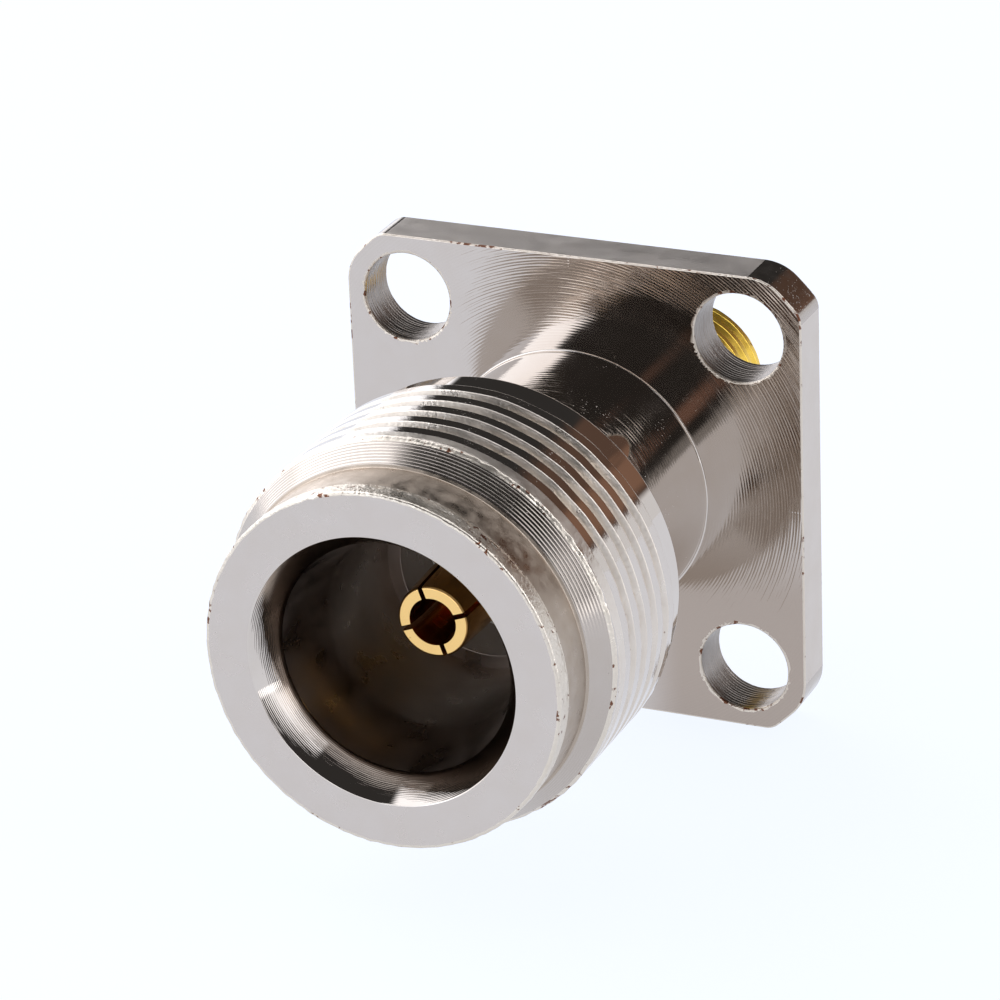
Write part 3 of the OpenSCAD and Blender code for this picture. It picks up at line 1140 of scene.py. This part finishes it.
@dataclass
class CentreContact:
    """Gold-plated contact: four springy fingers in front, a shank, and four small ones behind."""

    segments: int = 96
    tip: float = -15.78
    tip_r: float = 1.43
    body_r: float = 1.52
    taper: float = 2.2
    hole_r: float = 0.83
    sink_r: float = 0.95
    hole_len: float = 6.4
    slot_w: float = 0.20
    slot_len: float = 5.2
    slot_turn: float = math.radians(20)
    collar: float = -6.42
    collar_r: float = 1.95
    clamp: float = -5.62
    rear_r: float = 0.635
    rear_end: float = 8.72
    rear_hole_r: float = 0.47
    rear_hole_len: float = 3.0
    rear_slot_w: float = 0.15
    rear_slot_len: float = 2.2
    root: float = 0.03  # how far the fingers run into the shank

    def build(self) -> bpy.types.Object:
        """Makes the contact.

        Returns:
            Eight fingers and a shank, each a closed shell.
        """
        shell = Shell()
        slot_end = self.tip + self.slot_len
        rear_slot = self.rear_end - self.rear_slot_len
        shank = softened([
            (self.hole_r, slot_end, 0), (self.body_r, slot_end, 0),
            (self.body_r, self.collar, 0), (self.collar_r, self.collar, 0),
            (self.collar_r, self.clamp, 0), (self.rear_r, self.clamp, 0),
            (self.rear_r, rear_slot, 0), (self.rear_hole_r, rear_slot, 0),
            (self.rear_hole_r, self.rear_end - self.rear_hole_len, 0),
            (0, self.rear_end - self.rear_hole_len + 0.15, 0)])
        shell.add(turned(shank, self.segments), 0)
        hole = softened([
            (0, self.tip + self.hole_len + 0.3, 0), (self.hole_r, self.tip + self.hole_len, 0),
            (self.hole_r, slot_end, 0)])
        shell.add(turned(hole, self.segments), 1)
        outside = softened([
            (self.body_r, slot_end + self.root, 0), (self.body_r, self.tip + self.taper, 0.3),
            (self.tip_r, self.tip + 0.08, 0.03), (self.tip_r - 0.07, self.tip, 0.03),
            (self.sink_r, self.tip, 0)])
        self.add_fingers(shell, outside, self.bored(slot_end), self.slot_w)
        rear = softened([
            (self.rear_r, rear_slot - self.root, 0), (self.rear_r, self.rear_end - 0.12, 0.04),
            (self.rear_hole_r + 0.03, self.rear_end, 0)])
        rear_hole = np.array([(self.rear_hole_r + 0.03, self.rear_end),
                              (self.rear_hole_r, self.rear_end - 0.1),
                              (self.rear_hole_r, rear_slot - self.root)])
        self.add_fingers(shell, rear, rear_hole, self.rear_slot_w)
        # thin plating on beryllium copper: rosy, bright, a little tarnished
        bright = Plate("gold_plated_contact", colour="#f3cb84", tarnish="#a8692c", roughness=0.16,
                       mark_pitch=0.06, mark_depth=0.0005, stain=0.2)
        # plating seldom reaches in here: dark amber
        deep = Plate("gold_in_the_hole", colour="#c88a3c", tarnish="#6b3d18", roughness=0.22,
                     mark_pitch=0.06, mark_depth=0.001)
        return shell.build("slotted_contact", [bright.material(), deep.material()])

    def bored(self, slot_end: float) -> np.ndarray:
        """Inside of the front fingers: countersink with a few tool rings, then the hole.

        Args:
            slot_end: station where the slots end.

        Returns:
            Rows of (radius, station), from the tip inwards.
        """
        sink = np.linspace(0.0, 1.0, 25)
        rings = 0.02 * np.abs(np.sin(sink * math.pi * 4)) * (1 - sink)
        mouth = np.stack([self.sink_r + (self.hole_r - self.sink_r) * sink - rings,
                          self.tip + 0.75 * sink], axis=-1)
        return np.concatenate([mouth, [(self.hole_r, slot_end + self.root)]])

    def add_fingers(self, shell: Shell, outside: np.ndarray, inside: np.ndarray,
                    slot_w: float) -> None:
        """Four fingers between crossed slots of one width.

        At radius r a slot of width w takes asin(w / 2r) from each side of a quarter turn.

        Args:
            shell: where they go.
            outside: profile from the root to the hole's rim.
            inside: profile from the hole's rim back to the root.
            slot_w: width of the slots.
        """
        loop = np.concatenate([outside, inside[1:], outside[:1]])
        start = np.linspace(0, 1, 13)
        gap = np.arcsin(slot_w / 2 / loop[:, :1])
        inner = np.concatenate([np.zeros(len(outside), int), np.ones(len(inside) - 1, int)])
        for finger in range(FINGERS):
            angle = self.slot_turn + finger * QUARTER + gap + start * (QUARTER - 2 * gap)
            grid = round_axis(loop[:, :1], loop[:, 1:], angle)
            shell.add(grid, inner)
            for side in (0, -1):
                self.add_cap(shell, grid[:, side], len(outside))

    @staticmethod
    def add_cap(shell: Shell, ring: np.ndarray, outer: int) -> None:
        """Closes a finger's end: a ruled strip between its outside and its inside.

        Args:
            shell: where it goes.
            ring: points of the finger's section, closed.
            outer: how many of them lie on the outside.
        """
        out, back = ring[:outer], ring[outer - 1:-1][::-1]
        along = np.linspace(0, 1, max(len(out), len(back)))
        parts = []
        for line in (out, back):
            knots = np.linspace(0, 1, len(line))
            axes = [np.interp(along, knots, line[:, k]) for k in range(3)]
            parts.append(np.stack(axes, axis=-1))
        shell.add(np.stack(parts), 1)


@dataclass(frozen=True)
class Insulators:
    """The two white insulators, which keep the frame's own shapes."""

    nodes: tuple[str, ...] = ("front_insulator", "rear_insulator")

    def dress(self, nodes: dict[str, bpy.types.Object]) -> None:
        """Gives both their finish.

        Args:
            nodes: the frame's objects by name.
        """
        finish = Fluoropolymer("white_ptfe_rod").material()
        for name in self.nodes:
            nodes[name].data.materials.clear()
            nodes[name].data.materials.append(finish)


# ---------------------------------------------------------------- studio


def direction(azimuth: float, elevation: float) -> Vector:
    """Unit vector at an azimuth and elevation, both in degrees.

    Args:
        azimuth: 0 in front of the large jack, 90 on the +X side.
        elevation: above the level.

    Returns:
        The vector, from the adapter outwards.
    """
    a, e = math.radians(azimuth), math.radians(elevation)
    return Vector((math.sin(a) * math.cos(e), -math.cos(a) * math.cos(e), math.sin(e)))


@dataclass(frozen=True)
class SoftBox:
    """A soft patch of light or reflected room, as seen from the adapter.

    Azimuth 0 is in front of the large jack, 90 on the +X side. Angles are in degrees.
    """

    name: str
    azimuth: float
    elevation: float
    width: float
    height: float
    feather: float
    colour: str
    strength: float

    def light(self, bench: Bench) -> Socket:
        """Colour that the patch adds in each direction.

        The direction is measured as two slopes against the patch's own middle, and each
        slope fades out over the feather at the patch's border.

        Args:
            bench: the world's nodes.

        Returns:
            Socket with the colour times the strength.
        """
        a = math.radians(self.azimuth)
        middle = direction(self.azimuth, self.elevation)
        right = Vector((math.cos(a), math.sin(a), 0))
        up = right.cross(middle).normalized()
        depth = self.along(bench, middle)
        share = bench.add("Math", {0: depth, 1: 0.0}, operation="GREATER_THAN")
        soft = math.radians(self.feather)
        for axis, size in ((right, self.width), (up, self.height)):
            slope = bench.add("Math", {0: self.along(bench, axis), 1: depth}, operation="DIVIDE")
            slope = bench.add("Math", {0: slope}, operation="ABSOLUTE")
            edge = math.radians(size / 2)
            fade = bench.add("MapRange", {
                "Value": slope, "From Min": math.tan(edge - soft / 2),
                "From Max": math.tan(edge + soft / 2), "To Min": 1.0, "To Max": 0.0},
                interpolation_type="SMOOTHSTEP")
            share = bench.add("Math", {0: share, 1: fade}, operation="MULTIPLY")
        lit = Vector(linear(self.colour)[:3]) * self.strength
        return bench.add("VectorMath", {0: tuple(lit), "Scale": share}, operation="SCALE")

    @staticmethod
    def along(bench: Bench, axis: Vector) -> Socket:
        """How far the direction runs along a fixed axis: their dot product."""
        return bench.add("VectorMath", {0: bench.place, 1: tuple(axis)}, "Value",
                         operation="DOT_PRODUCT")


@dataclass
class Studio:
    """Camera, pale light table and the soft patches that the bright metal mirrors.

    The camera looks along azimuth and elevation at a point on the adapter, in
    millimetres, from a distance, with a small roll.
    """

    azimuth: float = 24.655
    elevation: float = 23.733
    roll: float = -2.358
    aim: tuple[float, float, float] = (-1.133, -6.855, 1.075)
    distance: float = 181.68
    lens: float = 168.44
    sensor: float = 36.0
    clip: float = 0.005  # m
    floor_size: float = 4000.0
    floor_gap: float = 0.02
    floor_body: str = "#5a5a5a"
    floor_glow: tuple[float, float, float] = (0.85, 0.90, 1.01)
    room: str = "#3a3939"
    boxes: tuple[SoftBox, ...] = (
        SoftBox("left_window", -88, 27, 92, 70, 5, "#f4f7ff", 1.85),
        SoftBox("back_left_window", -129.2, 6.5, 40, 44, 2, "#f4f7ff", 1.9),
        SoftBox("overhead_strip", 180, 73, 140, 36, 4, "#f4f7ff", 1.8),
        SoftBox("right_window", 97, 0, 46, 116, 5, "#f4f7ff", 1.7),
        SoftBox("front_card", -2, 6, 40, 24, 5, "#f4f7ff", 2.2),
        SoftBox("front_left_card", -36, 5, 28, 26, 3, "#ecf3ff", 2.8),
        SoftBox("front_right_card", 50, 12, 20, 26, 5, "#f4f7ff", 1.3),
        SoftBox("front_right_sweep", 33, 0, 12, 9, 3, "#f2f5fc", 0.4),
        SoftBox("back_right_sweep", 147, 0, 66, 15, 2, "#f2f5fc", 1.0),
        SoftBox("right_sweep", 95, 0, 60, 9, 3, "#f2f5fc", 1.0),
        SoftBox("brown_shelf", 147, 20, 44, 25, 4, "#5a3d2b", 0.9),
        SoftBox("brown_box", 150, 15, 8, 11, 3, "#956f59", 0.5),
        SoftBox("warm_shelf", 31, 14, 7, 7, 4, "#7a5c50", 1.3),
        SoftBox("warm_edge", 14.6, 31, 4, 6, 3, "#7a5c50", 0.5),
    )

    def build(self, lowest: float) -> None:
        """Makes the camera, floor and light.

        Args:
            lowest: height of the adapter's lowest point, in metres.
        """
        self.add_camera()
        self.add_floor(lowest)
        self.add_light()
        bpy.context.scene.view_settings.view_transform = "Standard"

    def add_camera(self) -> None:
        """Camera on the line of sight, turned by the roll about it."""
        camera = add_object("camera", bpy.data.cameras.new("camera"))
        camera.data.lens = self.lens
        camera.data.sensor_width = self.sensor
        camera.data.clip_start = self.clip
        back = direction(self.azimuth, self.elevation)
        level = (-back).to_track_quat("-Z", "Y").to_matrix()
        turned_by = level @ Matrix.Rotation(math.radians(self.roll), 3, "Z")
        camera.matrix_world = Matrix.Translation(
            (Vector(self.aim) + back * self.distance) * MM) @ turned_by.to_4x4()
        bpy.context.scene.camera = camera

    def add_floor(self, lowest: float) -> None:
        """Pale acrylic light table: white, matt and lit softly from below.

        Args:
            lowest: height of the adapter's lowest point, in metres.
        """
        half = self.floor_size / 2 * MM
        height = lowest - self.floor_gap * MM
        corners = [(x, y, height) for x, y in (
            (-half, -half), (half, -half), (half, half), (-half, half))]
        mesh = bpy.data.meshes.new("light_table")
        mesh.from_pydata(corners, [], [[0, 1, 2, 3]])
        made = bpy.data.materials.new("opal_acrylic")
        bench = Bench(made)
        bench.fill(bench.tree.nodes["Principled BSDF"], {
            "Base Color": linear(self.floor_body), "Roughness": 0.7, "Specular IOR Level": 0.1,
            "Emission Color": (*self.floor_glow, 1.0), "Emission Strength": 1.0})
        mesh.materials.append(made)
        add_object("light_table", mesh)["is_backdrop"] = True

    def add_light(self) -> None:
        """World light: a dark room plus the soft patches, added up by direction."""
        world = bpy.data.worlds.new("studio")
        bpy.context.scene.world = world
        bench = Bench(world, "Generated")
        total = linear(self.room)[:3]
        for box in self.boxes:
            total = bench.add("VectorMath", {0: total, 1: box.light(bench)})
        bench.fill(bench.tree.nodes["Background"], {"Color": total})


# ---------------------------------------------------------------- assembly


def stand_for(piece: bpy.types.Object, node: str) -> None:
    """Lets a new piece take the place of a frame node and reports it.

    Args:
        piece: the new object.
        node: the frame node that it stands for.
    """
    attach(piece, "root")
    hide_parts(node)
    LOG.info("%s replaces %s with %d faces", piece.name, node, len(piece.data.polygons))


def corners_of(box: Box) -> list[list[float]]:
    """A box's two corners as plain lists."""
    return [list(map(float, corner)) for corner in box]


def main() -> None:
    """Builds the adapter's pieces in order, then the studio."""
    logging.basicConfig(level=logging.INFO, format="%(name)s: %(message)s")
    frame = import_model()
    solids = corners_of(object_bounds())
    stand_for(FlangedBody().build(), "flanged_body")
    stand_for(RearJack().build(), "rear_jack")
    stand_for(CentreContact().build(), "centre_contact")
    Insulators().dress(frame["nodes"])
    Studio().build(solids[0][2])


if __name__ == "__main__":
    main()
